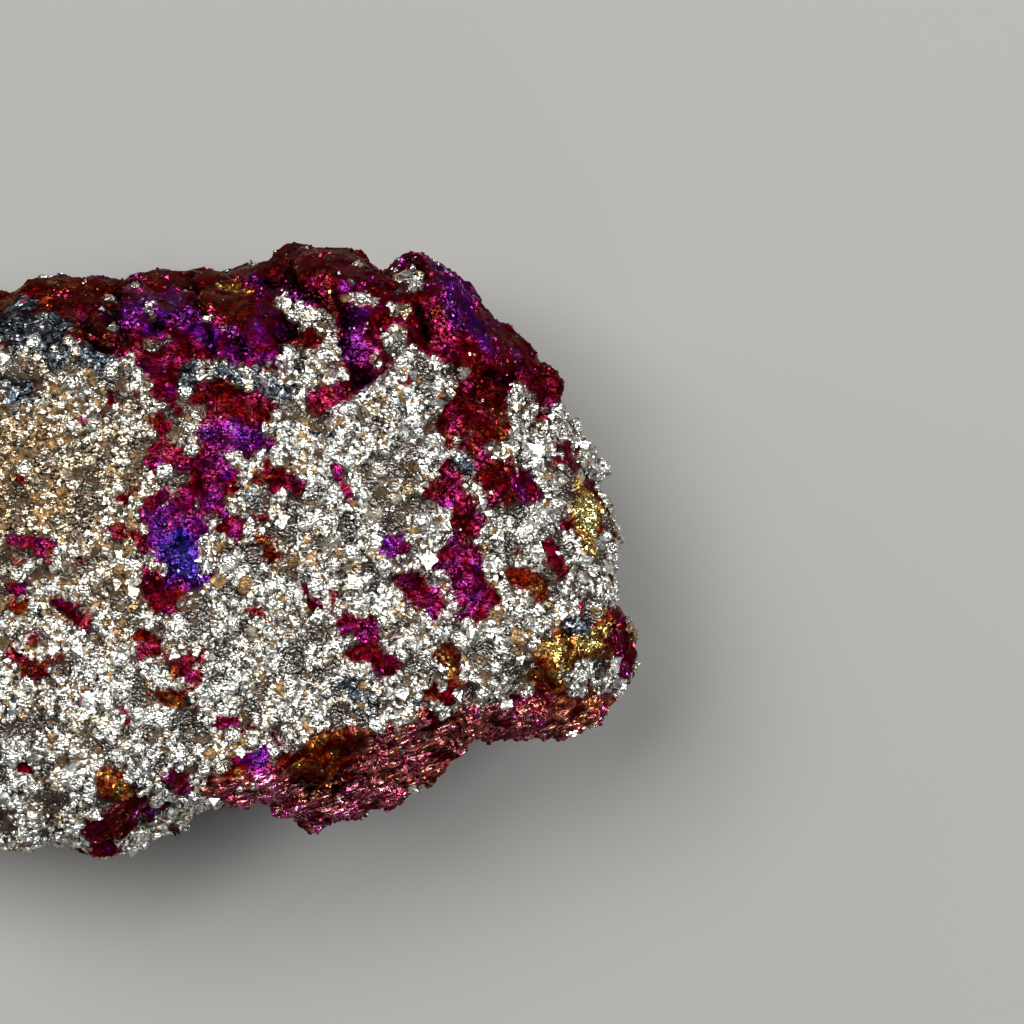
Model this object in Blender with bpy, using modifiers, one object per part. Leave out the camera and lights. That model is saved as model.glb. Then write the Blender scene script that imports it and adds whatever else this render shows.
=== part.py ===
"""Peacock ore specimen: one loose lump of tarnished copper ore, lying on its flattest side.

+Z is up. The broad broken face looks up, the thick tarnished edge is towards +Y, and the
origin is at the middle of the lump's underside.
"""

import math

import bmesh
import bpy
import numpy as np
from mathutils import Vector, noise

# The lump is shaped in millimetres and turned to metres at the end.
METRE = 0.001

# Driving dimensions, in millimetres.
LENGTH = 50.0  # left to right, along X
WIDTH = 30.2  # along Y
THICKNESS = 19.0  # underside to the highest part of the broken face
GIRTH_HEIGHT = 8.5  # height of the widest outline above the underside
SEAT_HEIGHT = -0.35  # where the underside is cut to the patch it rests on
TRIANGLES = 9400  # the finished lump

# How the faceted block is turned into worn rock, in millimetres unless said otherwise.
BLOCK_VOXEL = 0.42
ROUNDING_PASSES = 4
UNDER_TAPER = 0.06  # share of its plan size that the lump loses between girth and underside
BELLY = 2.2  # how far the underside lifts towards its rim
GIRTH_SWING = 1.6  # how far the widest outline rises and falls
GIRTH_BAND = 1.5  # half height of the band where the outline alone shapes the side
UPPER_FADE = 3.0  # height over which the upper side's forms fade in above the girth
WANDER = 1.1  # sideways shift of the sides away from the girth
WANDER_START = 2.2

# Rough relief: (size of its features, height), and the seed that places it.
BROAD_LUMPS = (6.5, 0.75)
KNOBS = (3.4, 0.75)
PITS = (1.5, 0.28)
LEDGES = (7.0, 0.7)
LEDGE_SQUASH = 2.9  # how much flatter than wide the ledges are
RELIEF_SEED = Vector((3.1, 7.7, 1.9))

# The widest outline in plan, clockwise from the upper left: (x, y) in millimetres.
OUTLINE = (
    # thick tarnished edge
    (-6.8, 12.1), (-5.5, 12.55), (-3.8, 13.3), (-2.2, 13.55), (-0.45, 13.3), (0.8, 13.8),
    (1.7, 13.35), (3.1, 13.75), (4.4, 13.45), (5.5, 14.35), (6.3, 14.15), (7.45, 14.7),
    (10.5, 14.95), (11.35, 14.6), (12.35, 12.7), (13.1, 14.6), (14.0, 14.95), (15.2, 14.45),
    # right shoulder, down to the ragged end
    (16.3, 13.4), (17.45, 12), (18.7, 10.45), (20.05, 9.5), (21.3, 8), (21.05, 7.1),
    (21.5, 6.2), (22.35, 5.3), (23.4, 3.75), (22.85, 2.6), (23.1, 1.75), (24.25, 1.1),
    (24.15, 0.1), (23.6, -1.35), (23.8, -2.7), (24.75, -3.7), (24.85, -5.1), (25.0, -6.5),
    # lower edge, right to left
    (24.1, -7.1), (23.1, -8.05), (21.9, -8.3), (20.9, -7.95), (19.5, -9.2), (17.1, -9.75),
    (15.95, -10.15), (13.95, -11.1), (13.2, -11.8), (10.7, -12.4), (8.45, -13.2),
    (7.35, -12.95), (6.6, -12.25), (4.45, -12.5), (2.7, -13.4), (-0.2, -14.65), (-1.65, -14.8),
    (-2.8, -14.05), (-4.7, -13.85), (-5.55, -14.4), (-6.5, -13.65), (-9.8, -13.55),
    (-13.3, -12.25), (-16.8, -11.55), (-19.9, -9.5), (-22.6, -8.5),
    # blunt left end, and back along the thick edge
    (-24.3, -5.4), (-25.0, -2.6), (-24.2, 0.15), (-24.7, 2.65), (-23.2, 5.4), (-20.6, 7),
    (-18.1, 8.9), (-14.8, 9.65), (-11.6, 11.25), (-9.0, 11.45),
)

# The broad broken face is two very flat facets that meet near the middle of the lump: plan
# direction that each leans towards and the elevation of its normal, in degrees.
BROKEN_FACE = ((205, 87.0), (-20, 86.5))

# Smaller fracture facets: plan direction of the outward normal and its elevation in degrees
# (90 faces up, -90 down), how deep the facet bites in from the outline's furthest point in
# that direction, and the height where it does, in millimetres.
FACETS = (
    # bevels around the broken face
    (93, 52, 6.0, 18.2), (96, 32, 2.2, 14.6), (42, 54, 4.2, 17.6), (8, 60, 4.2, 17.0),
    (-20, 56, 3.8, 16.8), (-67, 52, 3.6, 17.8), (-72, 34, 1.4, 14.9), (-100, 56, 2.8, 17.9),
    (-135, 50, 2.8, 17.4), (180, 50, 4.4, 17.6), (150, 52, 5.4, 17.8), (118, 50, 4.3, 18.0),
    # steep chips above the girth
    (70, 20, 0.9, 11.5), (20, 26, 1.1, 11.5), (-5, 16, 0.6, 12.0), (-45, 24, 1.2, 12.5),
    (-85, 18, 0.8, 13.0), (-118, 26, 1.3, 12.0), (-160, 18, 1.1, 12.0), (165, 28, 1.5, 12.0),
    (135, 22, 1.2, 12.5), (108, 18, 0.7, 12.0),
    # steep chips below the girth
    (80, -20, 0.9, 5.5), (30, -26, 1.5, 6.0), (-12, -20, 1.2, 5.5), (-50, -24, 1.3, 5.0),
    (-80, -16, 0.8, 6.0), (-112, -28, 1.5, 5.0), (-155, -22, 1.3, 6.0), (172, -22, 1.2, 5.5),
    (140, -26, 1.5, 6.0), (112, -20, 1.0, 5.0),
    # undercut facets down to the seat
    (92, -42, 4.6, 0.0), (45, -36, 4.8, 0.0), (2, -34, 5.6, 0.0), (-66, -36, 4.9, 0.0),
    (-98, -44, 4.8, 0.0), (-140, -38, 4.8, 0.0), (176, -40, 4.8, 0.0), (125, -36, 5.1, 0.0),
)

# Rounded swellings of the upper side: (x, y, radius, height) in millimetres.
SWELLINGS = (
    (0.9, 11.2, 1.7, 0.75),  # round lobes along the thick edge
    (4.0, 11.6, 1.6, 0.60),
    (6.2, 10.2, 1.9, 0.70),
    (8.9, 12.6, 1.5, 0.60),
    (10.6, 11.6, 2.2, 0.80),
    (14.4, 12.6, 1.9, 0.85),
    (18.2, 9.4, 1.9, 0.55),
    (20.3, 7.6, 1.4, 0.70),
    (-3.2, 11.6, 1.8, 0.50),
    (-9.5, 9.6, 2.4, 0.60),
    (-17.0, 6.6, 2.6, 0.70),
    (9.6, -10.6, 1.9, 0.70),  # lobes of the lower edge
    (15.6, -8.6, 2.0, 0.45),
    (21.6, -7.0, 1.3, 0.60),
    (23.0, 0.6, 1.0, 0.60),
    (-1.4, -12.9, 1.8, 0.60),
    (-12.6, -10.6, 2.3, 0.60),
    (5.0, -3.0, 4.6, 0.35),  # broad waves of the broken face
    (-6.0, 1.5, 5.0, 0.40),
    (13.6, 1.0, 3.6, 0.40),
    (-17.5, -2.5, 4.2, 0.45),
    (15.0, 5.6, 1.9, 0.45),
    (17.4, -4.6, 2.4, 0.35),
)

# Creases and hollow streaks of the upper side: (x1, y1, x2, y2, half width, depth).
CREASES = (
    (-0.9, 12.9, -0.5, 9.4, 0.55, 0.70),
    (2.4, 13.2, 2.8, 9.8, 0.50, 0.60),
    (7.4, 13.0, 8.6, 8.4, 0.60, 0.80),
    (11.3, 11.0, 11.8, 7.2, 0.60, 0.75),
    (12.5, 13.6, 13.4, 10.2, 0.60, 0.80),
    (-6.2, 8.9, -1.6, 8.3, 0.80, 0.45),  # foot of the thick edge
    (1.2, 9.0, 6.8, 7.9, 0.70, 0.50),
    (16.6, 7.8, 20.6, 5.6, 0.60, 0.60),
    (6.4, 6.9, 4.0, 3.2, 1.00, 0.45),  # tarnished streak across the broken face
    (4.0, 3.2, 2.0, -2.2, 0.90, 0.45),
    (15.6, 6.2, 16.6, -2.4, 0.90, 0.40),
    (16.6, -2.4, 13.0, -3.0, 0.80, 0.40),
    (12.2, -9.2, 15.2, -7.6, 0.50, 0.45),
    (16.4, -7.9, 19.6, -6.4, 0.60, 0.35),
    (6.0, -9.8, 9.0, -8.2, 0.50, 0.50),
    (-11.0, 8.0, -14.0, -3.0, 0.90, 0.45),
    (-20.0, 3.6, -15.6, 5.6, 0.80, 0.55),
)

TARNISHED_ORE = (0.30, 0.09, 0.16, 1.0)


def clear_scene():
    for old in list(bpy.data.objects):
        bpy.data.objects.remove(old, do_unlink=True)


def evaluated_mesh(obj):
    """The object's mesh with its modifiers applied."""
    graph = bpy.context.evaluated_depsgraph_get()
    graph.update()
    return bpy.data.meshes.new_from_object(obj.evaluated_get(graph))


def extruded_outline(collection):
    """The outline as a closed slab that stands a little above and below the finished lump."""
    margin = 1.0
    curve = bpy.data.curves.new("outline", "CURVE")
    curve.dimensions = "2D"
    curve.fill_mode = "BOTH"
    curve.extrude = THICKNESS / 2 + margin
    spline = curve.splines.new("POLY")
    spline.points.add(len(OUTLINE) - 1)
    for point, (x, y) in zip(spline.points, OUTLINE):
        point.co = (x, y, 0, 1)
    spline.use_cyclic_u = True
    flat = bpy.data.objects.new("outline", curve)
    collection.objects.link(flat)
    mesh = evaluated_mesh(flat)
    bpy.data.objects.remove(flat)
    bm = bmesh.new()
    bm.from_mesh(mesh)
    bmesh.ops.remove_doubles(bm, verts=bm.verts, dist=1e-4)
    bmesh.ops.translate(bm, verts=bm.verts, vec=(0, 0, THICKNESS / 2))
    return linked("slab", bm, collection)


def linked(name, bm, collection):
    """A scene object that holds the bmesh's shape."""
    mesh = bpy.data.meshes.new(name)
    bm.to_mesh(mesh)
    bm.free()
    obj = bpy.data.objects.new(name, mesh)
    collection.objects.link(obj)
    return obj


def cut(bm, point, normal):
    """Cuts off everything beyond a plane and closes the cut with a flat face."""
    geometry = bm.verts[:] + bm.edges[:] + bm.faces[:]
    found = bmesh.ops.bisect_plane(
        bm, geom=geometry, dist=1e-5, plane_co=point, plane_no=normal, clear_outer=True
    )
    rim = [item for item in found["geom_cut"] if isinstance(item, bmesh.types.BMEdge)]
    bmesh.ops.triangle_fill(
        bm, edges=[e for e in rim if e.is_boundary], use_beauty=True, use_dissolve=False
    )
    bmesh.ops.recalc_face_normals(bm, faces=bm.faces)


def facet_normal(direction, elevation):
    around, above = math.radians(direction), math.radians(elevation)
    flat = math.cos(above)
    return Vector((math.cos(around) * flat, math.sin(around) * flat, math.sin(above)))


def outermost(direction):
    """The outline's furthest reach in a plan direction, as a point at height 0."""
    outward = facet_normal(direction, 0)
    return outward * max(outward.x * x + outward.y * y for x, y in OUTLINE)


def facet_body(collection):
    """The convex body that the fracture facets bound."""
    bm = bmesh.new()
    bmesh.ops.create_cube(bm, size=2 * LENGTH)
    for direction, elevation in BROKEN_FACE:
        cut(bm, (0, 0, THICKNESS), facet_normal(direction, elevation))
    for direction, elevation, bite, height in FACETS:
        place = outermost(direction) - facet_normal(direction, 0) * bite
        place.z = height
        cut(bm, place, facet_normal(direction, elevation))
    return linked("facets", bm, collection)


def rounded_block(collection):
    """The outline's slab chipped to the facets, remeshed evenly and worn round."""
    slab, facets = extruded_outline(collection), facet_body(collection)
    chip = slab.modifiers.new("chipped", "BOOLEAN")
    chip.operation = "INTERSECT"
    chip.solver = "EXACT"
    chip.object = facets
    remesh = slab.modifiers.new("even faces", "REMESH")
    remesh.mode = "VOXEL"
    remesh.voxel_size = BLOCK_VOXEL
    wear = slab.modifiers.new("wear", "SMOOTH")
    wear.factor = 0.5
    wear.iterations = ROUNDING_PASSES
    even = evaluated_mesh(slab)
    bpy.data.objects.remove(slab)
    bpy.data.objects.remove(facets)
    return in_order(even)


def in_order(mesh):
    """The same mesh with its points and faces in an order that their positions alone set."""
    points = np.empty(len(mesh.vertices) * 3, np.float32)
    mesh.vertices.foreach_get("co", points)
    points = points.reshape(-1, 3).astype(float).round(4)
    order = np.lexsort(points.T)
    place = np.empty(len(order), int)
    place[order] = np.arange(len(order))
    faces = []
    for face in mesh.polygons:
        corners = [int(place[vertex]) for vertex in face.vertices]
        first = corners.index(min(corners))
        faces.append(corners[first:] + corners[:first])
    ordered = bpy.data.meshes.new("ordered")
    ordered.from_pydata(points[order].tolist(), [], sorted(faces))
    return ordered


def from_segment(x, y, x1, y1, x2, y2):
    """Distance in plan from (x, y) to the segment."""
    start, along = Vector((x1, y1)), Vector((x2 - x1, y2 - y1))
    point = Vector((x, y))
    share = max(0.0, min(1.0, (point - start).dot(along) / along.length_squared))
    return (point - start - along * share).length


def upper_forms(x, y):
    """Height in millimetres that the swellings and creases add to the upper side."""
    height = 0.0
    for cx, cy, radius, rise in SWELLINGS:
        height += rise * math.exp(-(((x - cx) ** 2 + (y - cy) ** 2) / radius**2))
    for x1, y1, x2, y2, half_width, depth in CREASES:
        away = from_segment(x, y, x1, y1, x2, y2) / half_width
        height -= depth * math.exp(-away * away)
    return height


def relief_of(feature, point, seed):
    """Smooth noise in millimetres with features of the given size and height."""
    size, height = feature
    return height * noise.noise(point / size + seed)


def rock_relief(point, steepness):
    """Rough broken relief in millimetres: lumps and pits all over, ledges on steep sides."""
    size, height = KNOBS
    nearest_knob = noise.voronoi(point / size + RELIEF_SEED)[0][0]
    knobs = height * (0.5 - min(0.75, nearest_knob))
    squashed = Vector((point.x, point.y, point.z * LEDGE_SQUASH))
    ledges = relief_of(LEDGES, squashed, RELIEF_SEED * 2) * steepness
    broad = relief_of(BROAD_LUMPS, point, RELIEF_SEED)
    return broad + knobs + relief_of(PITS, point, -RELIEF_SEED) + ledges


def wander(point, from_girth):
    """Sideways shift in millimetres that breaks up upright ribs away from the girth."""
    strength = 1 - math.exp(-((from_girth / WANDER_START) ** 2))
    along_x = relief_of((5.0, WANDER), point, RELIEF_SEED)
    along_y = relief_of((5.0, WANDER), point, -RELIEF_SEED)
    return Vector((along_x, along_y, 0)) * strength


def girth_height(point):
    """The widest outline isn't level: it rises and falls around the lump."""
    return GIRTH_HEIGHT + GIRTH_SWING * math.sin(2 * math.atan2(point.y, point.x) + 0.6)


def weather(mesh):
    """Moves the even block's surface into worn, lumpy rock."""
    bm = bmesh.new()
    bm.from_mesh(mesh)
    bm.normal_update()
    moved = []
    for vert in bm.verts:
        point = vert.co
        normal = vert.normal
        from_girth = point.z - girth_height(point)
        # On the girth itself the outline already carries the ragged edge.
        steepness = 1 - abs(normal.z)
        on_girth = math.exp(-((from_girth / GIRTH_BAND) ** 2)) * steepness
        relief = rock_relief(point, steepness) * (1 - 0.8 * on_girth)
        upper = min(1.0, max(0.0, from_girth / UPPER_FADE - 0.2))
        relief += upper_forms(point.x, point.y) * upper
        below = max(0.0, -from_girth / GIRTH_HEIGHT)
        shrink = 1 - UNDER_TAPER * below**2
        spread = (2 * point.x / LENGTH) ** 2 + (2 * point.y / WIDTH) ** 2
        placed = Vector((point.x * shrink, point.y * shrink, point.z + BELLY * spread * below**2))
        moved.append(placed + wander(point, from_girth) + normal * relief)
    for vert, place in zip(bm.verts, moved):
        vert.co = place
    bmesh.ops.smooth_vert(
        bm, verts=bm.verts, factor=0.25, use_axis_x=True, use_axis_y=True, use_axis_z=True
    )
    bm.to_mesh(mesh)
    bm.free()
    return mesh


def thinned(mesh, collection):
    """The same surface in fewer triangles, most of them left where it bends."""
    lump = bpy.data.objects.new("thinned", mesh)
    collection.objects.link(lump)
    three_sided = lump.modifiers.new("three sided", "TRIANGULATE")
    three_sided.min_vertices = 4
    fewer = lump.modifiers.new("fewer", "DECIMATE")
    fewer.ratio = TRIANGLES / (2 * len(mesh.polygons))
    thin = evaluated_mesh(lump)
    bpy.data.objects.remove(lump)
    return thin


def seated(mesh):
    """Cuts the underside to the flat patch it rests on, centres it and turns it to metres."""
    bm = bmesh.new()
    bm.from_mesh(mesh)
    cut(bm, (0, 0, SEAT_HEIGHT), (0, 0, -1))
    bmesh.ops.triangulate(bm, faces=[f for f in bm.faces if len(f.verts) > 3])
    low = Vector([min(vert.co[axis] for vert in bm.verts) for axis in range(3)])
    high = Vector([max(vert.co[axis] for vert in bm.verts) for axis in range(3)])
    middle = (low + high) / 2
    bmesh.ops.translate(bm, verts=bm.verts, vec=(-middle.x, -middle.y, -low.z))
    bmesh.ops.scale(bm, verts=bm.verts, vec=(METRE, METRE, METRE))
    bm.to_mesh(mesh)
    bm.free()
    return mesh


def ore_material():
    material = bpy.data.materials.new("tarnished_ore")
    material.use_nodes = True
    shader = material.node_tree.nodes["Principled BSDF"]
    shader.inputs["Base Color"].default_value = TARNISHED_ORE
    shader.inputs["Metallic"].default_value = 0.9
    shader.inputs["Roughness"].default_value = 0.35
    return material


def main():
    clear_scene()
    collection = bpy.data.collections.new("peacock ore specimen")
    bpy.context.scene.collection.children.link(collection)
    mesh = weather(rounded_block(collection))
    mesh = seated(thinned(mesh, collection))
    mesh.shade_smooth()
    mesh.set_sharp_from_angle(angle=math.radians(40))
    mesh.materials.clear()
    mesh.materials.append(ore_material())
    lump = bpy.data.objects.new("ore_lump", mesh)
    collection.objects.link(lump)


main()
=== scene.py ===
"""Looks of a peacock ore specimen: a lump of granular pyrite with iridescent copper ore.

The rock is one fine mesh, with tarnished ore and pyrite crust side by side. Thousands of small
pyrite grains sit on it, and tarnished crystals on the ore between them. Lengths are in
millimetres on the lump, with X along it, Y towards its thick tarnished edge and Z up out of its
broken face, and they turn to metres where the meshes are made.
"""

import math

import bpy
import numpy as np
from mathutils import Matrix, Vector, kdtree, noise


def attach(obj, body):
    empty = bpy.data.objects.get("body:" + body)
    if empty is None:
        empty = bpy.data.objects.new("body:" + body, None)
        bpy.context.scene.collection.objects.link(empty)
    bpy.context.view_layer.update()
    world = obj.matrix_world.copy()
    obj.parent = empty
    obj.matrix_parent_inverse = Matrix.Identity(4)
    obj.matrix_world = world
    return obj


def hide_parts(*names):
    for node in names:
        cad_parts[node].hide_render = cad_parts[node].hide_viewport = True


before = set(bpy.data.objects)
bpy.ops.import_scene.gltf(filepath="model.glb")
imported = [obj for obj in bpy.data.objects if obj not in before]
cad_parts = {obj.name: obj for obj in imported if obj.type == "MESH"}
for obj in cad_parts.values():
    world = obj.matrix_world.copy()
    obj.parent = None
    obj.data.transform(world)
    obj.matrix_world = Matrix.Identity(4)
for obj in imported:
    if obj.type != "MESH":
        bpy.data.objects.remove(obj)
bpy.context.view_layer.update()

MILLIMETRE = 0.001
SEED = 20

FACE_LEVEL = 18.0  # typical height of the broken face
GIRTH = 8.5  # height at which the lump is widest
VIEW_CENTRE = np.array((18.8, 1.8))  # the place that the camera looks straight down on
CAMERA_HEIGHT = 221.8

# ---------------------------------------------------------------- where the ore shows

# Iridescent ore on the broken face and the thick edge: a streak from (x1, y1) to (x2, y2), its
# half width, and how thick its tarnish is (0 bare brass, 0.25 orange, 0.4 crimson, 0.5 magenta,
# 0.65 violet, 0.8 blue, 1 steel grey).
ORE_STREAKS = (
    (-5.3, 11.6, -2.8, 12.3, 0.77, 0.36),  # rim over the grey corner
    (-2.1, 12.0, -1.0, 10.0, 1.25, 0.41),  # orange and crimson knobs
    (0.7, 11.4, 1.0, 11.1, 1.29, 0.61),  # violet knob
    (-1.6, 12.7, -0.6, 12.5, 0.60, 0.31),  # orange knob
    (-0.7, 10.1, 3.4, 9.8, 0.96, 0.42),  # dark hollow under the knobs
    (2.7, 11.9, 3.6, 10.5, 1.1, 0.60),  # magenta ridge
    (1.6, 8.8, 2.2, 8.2, 1.15, 0.48),  # maroon foot
    (3.9, 12.8, 6.0, 11.4, 1.05, 0.37),  # copper brow
    (5.0, 12.6, 5.9, 12.5, 0.50, 0.10),  # gold spot
    (5.3, 11.8, 6.1, 11.3, 0.60, 0.27),  # amber spot
    (6.7, 13.4, 7.4, 13.7, 0.55, 0.28),  # copper spot
    (4.8, 10.3, 5.6, 9.8, 0.91, 0.58),  # violet slope
    (6.4, 12.0, 6.8, 9.6, 1.05, 0.55),  # magenta ridge
    (7.5, 10.9, 7.7, 9.8, 0.72, 0.50),  # pink lobe
    (6.8, 13.1, 8.8, 12.0, 0.81, 0.56),  # magenta ledge
    (8.7, 13.8, 10.6, 12.4, 1.29, 0.41),  # dark red lobe
    (9.7, 12.0, 10.6, 9.8, 1.15, 0.46),  # dark red slope
    (11.3, 12.4, 11.6, 8.2, 0.60, 0.62),  # violet crease
    (12.4, 12.7, 13.2, 9.8, 1.05, 0.47),  # crimson knobs
    (13.2, 13.8, 14.0, 14.1, 0.57, 0.48),  # pink brow
    (14.6, 12.9, 15.0, 10.8, 1.34, 0.43),  # crimson bump
    (15.9, 12.7, 17.4, 10.5, 1.05, 0.68),  # violet blue shoulder
    (16.8, 9.6, 18.3, 7.9, 1.15, 0.43),  # maroon shoulder
    (18.6, 9.8, 20.5, 7.7, 0.86, 0.47),  # magenta rim
    (16.1, 8.5, 16.8, 5.6, 1.15, 0.42),  # crimson column
    (17.6, 7.4, 18.0, 6.0, 0.86, 0.38),  # dark red column
    (16.8, 4.8, 18.3, 3.3, 1.05, 0.42),  # dark red column
    (19.1, 3.2, 19.7, 3.4, 0.72, 0.56),  # violet foot
    (15.4, 3.1, 16.4, 1.7, 0.86, 0.46),  # crimson foot
    (4.1, 7.5, 6.5, 7.1, 0.81, 0.42),  # dark red streak
    (4.6, 6.7, 6.2, 6.3, 0.90, 0.43),  # dark red streak
    (4.2, 4.5, 5.2, 3.5, 0.70, 0.50),  # maroon streak
    (8.8, 10.2, 9.3, 9.7, 0.50, 0.36),  # red hollow
    (12.0, 10.6, 12.5, 9.0, 0.60, 0.49),  # magenta foot
    (4.6, 5.7, 6.3, 5.1, 0.91, 0.62),  # violet streak
    (1.9, 4.5, 4.0, 3.8, 0.62, 0.45),  # maroon branch
    (4.6, 3.8, 3.9, 2.4, 0.81, 0.52),  # magenta streak
    (2.1, 2.0, 3.4, 1.3, 0.76, 0.56),  # violet streak
    (2.5, 0.2, 3.1, -1.0, 1.1, 0.81),  # blue violet heart
    (1.5, -1.5, 2.3, -2.4, 0.72, 0.46),  # crimson end
    (0.3, 0.7, 0.8, 0.5, 0.53, 0.40),  # dark red spot
    (4.9, 1.3, 5.6, 0.9, 0.53, 0.50),  # magenta branch
    (1.8, 6.0, 2.1, 5.7, 0.48, 0.43),  # crimson spot
    (6.9, 3.5, 8.2, 3.2, 0.48, 0.43),  # crimson spot
    (-4.7, 0.4, -3.7, 0.1, 0.43, 0.50),  # maroon spot
    (-4.7, -1.9, -4.3, -1.8, 0.29, 0.53),  # magenta spot
    (-2.7, -3.0, -2.1, -3.5, 0.48, 0.42),  # red spot
    (-4.8, -2.7, -4.3, -2.6, 0.34, 0.30),  # copper spot
    (1.1, -3.8, 1.5, -4.9, 0.43, 0.42),  # red spot
    (3.1, -5.4, 3.5, -5.9, 0.62, 0.42),  # crimson spot
    (2.4, -5.3, 2.8, -5.7, 0.29, 0.25),  # orange spot
    (2.1, -6.7, 3.0, -6.9, 0.43, 0.24),  # orange spot
    (-5.1, -5.1, -4.0, -5.8, 0.38, 0.37),  # dark red spot
    (6.9, 0.5, 7.3, -0.1, 0.43, 0.27),  # orange spot
    (9.0, -1.8, 9.3, -2.3, 0.38, 0.43),  # red spot
    (5.2, -8.3, 5.7, -8.4, 0.29, 0.53),  # magenta spot
    (-4.7, -10.6, -4.3, -10.8, 0.29, 0.41),  # red spot
    (9.6, 7.1, 10.8, 7.7, 0.57, 0.46),  # crimson patch
    (10.4, 4.0, 10.7, 2.8, 0.34, 0.51),  # magenta spot
    (2.4, -10.6, 3.0, -11.3, 0.38, 0.51),  # magenta spot
    (10.9, -3.5, 12.1, -4.0, 0.53, 0.51),  # magenta patch
    (11.4, -5.0, 13.0, -5.7, 0.57, 0.45),  # crimson patch
    (14.1, -1.6, 14.7, -2.5, 0.77, 0.51),  # magenta patch
    (16.5, -0.4, 17.1, -2.5, 1.15, 0.51),  # magenta patch
    (13.5, 0.5, 13.0, -0.1, 0.34, 0.60),  # violet spot
    (15.6, -4.9, 16.1, -6.1, 0.38, 0.31),  # copper spot
    (19.1, -1.2, 20.2, -2.0, 0.53, 0.29),  # copper spot
    (20.4, 0.2, 21.1, -1.1, 0.34, 0.43),  # crimson spot
    (21.8, 4.5, 22.9, 3.2, 0.48, 0.47),  # magenta rim
    (22.3, 2.8, 22.6, -0.0, 0.57, 0.05),  # brass edge
    (20.9, -5.1, 23.1, -4.3, 1.01, 0.18),  # brass edge
    (20.2, -6.1, 21.0, -6.7, 0.57, 0.20),  # gold edge
    (23.9, -3.3, 24.5, -6.2, 0.57, 0.47),  # maroon corner
    (21.7, -7.2, 22.6, -7.6, 0.62, 0.32),  # dark copper corner
    (20.7, -7.2, 18.2, -8.5, 0.62, 0.45),  # crimson band
    (17.0, -8.4, 13.5, -9.7, 1.01, 0.38),  # copper band
    (15.0, -7.2, 15.8, -7.0, 0.43, 0.33),  # copper band
    (11.4, -10.7, 13.2, -10.5, 0.91, 0.44),  # crimson band
    (9.7, -9.7, 10.6, -10.2, 1.40, 0.25),  # amber lobe
    (8.6, -10.8, 10.1, -11.3, 1.00, 0.29),  # dark amber lobe
    (11.0, -9.2, 12.6, -9.0, 0.62, 0.40),  # crimson band
    (6.6, -10.8, 8.1, -11.6, 0.81, 0.51),  # magenta band
    (4.4, -11.4, 5.7, -10.9, 0.53, 0.36),  # red band
    (6.0, -10.1, 6.8, -10.3, 0.53, 0.59),  # violet band
    (8.3, -12.4, 11.1, -12.0, 0.38, 0.50),  # magenta lip
    (8.0, -12.9, 13.6, -12.4, 0.70, 0.50),  # lower edge
    (5.0, -11.9, 7.5, -12.4, 0.50, 0.52),  # lower edge
    (-0.6, -11.3, 0.6, -12.0, 0.67, 0.19),  # gold corner
    (1.0, -12.4, 1.4, -12.4, 0.48, 0.55),  # magenta corner
    (-1.4, -13.6, -0.4, -14.2, 0.57, 0.45),  # crimson corner
    (-0.4, -13.1, 0.5, -12.9, 0.53, 0.38),  # dark red corner
    (-5.7, 11.9, -3.8, 12.6, 0.7, 0.33),  # outer rim of the thick edge
    (-3.8, 12.6, -0.4, 13.2, 0.7, 0.29),
    (-0.4, 13.2, 2.9, 13.2, 0.7, 0.37),
    (2.9, 13.2, 6.0, 13.9, 0.7, 0.30),
    (6.0, 13.8, 8.7, 14.1, 0.7, 0.36),
    (8.7, 14.2, 11.8, 14.2, 0.7, 0.40),
    (13.2, 14.1, 15.2, 14.3, 0.7, 0.47),
    (15.6, 13.9, 17.0, 12.0, 0.8, 0.62),
    (17.0, 11.9, 20.1, 9.2, 0.8, 0.45),
    (20.2, 9.1, 21.1, 7.7, 0.6, 0.47),
    (9.8, -12.3, 13.4, -10.9, 0.7, 0.46),  # outer rim of the lower edge
    (13.4, -10.9, 17.3, -9.2, 0.7, 0.42),
    (17.3, -9.2, 20.6, -8.4, 0.7, 0.45),
    (20.6, -8.3, 23.4, -7.6, 0.6, 0.38),
    (-6.4, 10.8, -8.2, 9.9, 1.1, 0.44),  # far half: crimson knobs
    (-8.8, 10.6, -10.6, 9.4, 1.1, 0.58),  # violet knobs
    (-7.6, 8.9, -9.6, 8.4, 0.8, 0.68),  # violet slope
    (-11.4, 10.0, -12.8, 8.6, 1.15, 0.40),  # crimson knobs
    (-13.6, 9.0, -15.4, 7.8, 1.0, 0.52),  # magenta ridge
    (-12.2, 7.6, -13.2, 6.2, 0.7, 0.74),  # violet foot
    (-16.2, 8.0, -17.8, 6.6, 1.2, 0.36),  # copper knobs
    (-18.6, 7.2, -20.0, 5.6, 1.0, 0.62),  # violet shoulder
    (-20.8, 5.6, -22.4, 4.0, 1.05, 0.45),  # crimson shoulder
    (-23.2, 3.6, -23.6, 1.6, 0.7, 0.30),  # copper end
    (-11.2, 5.8, -12.6, 3.6, 0.75, 0.48),  # magenta streak
    (-12.9, 3.2, -14.6, 2.9, 0.5, 0.42),  # crimson branch
    (-11.9, 1.6, -12.3, -0.4, 0.9, 0.66),  # violet streak
    (-10.6, -0.4, -9.8, -1.0, 0.4, 0.50),  # magenta branch
    (-13.4, -1.8, -14.8, -2.6, 0.55, 0.42),  # crimson end
    (-8.2, 4.4, -9.2, 3.8, 0.45, 0.42),  # crimson spot
    (-7.4, -0.6, -8.2, -1.2, 0.5, 0.52),  # magenta spot
    (-9.6, -4.2, -10.6, -4.8, 0.45, 0.30),  # copper spot
    (-7.0, -7.4, -7.6, -8.2, 0.4, 0.44),  # crimson spot
    (-16.2, 3.9, -17.8, 3.3, 0.7, 0.40),  # crimson patch
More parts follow.
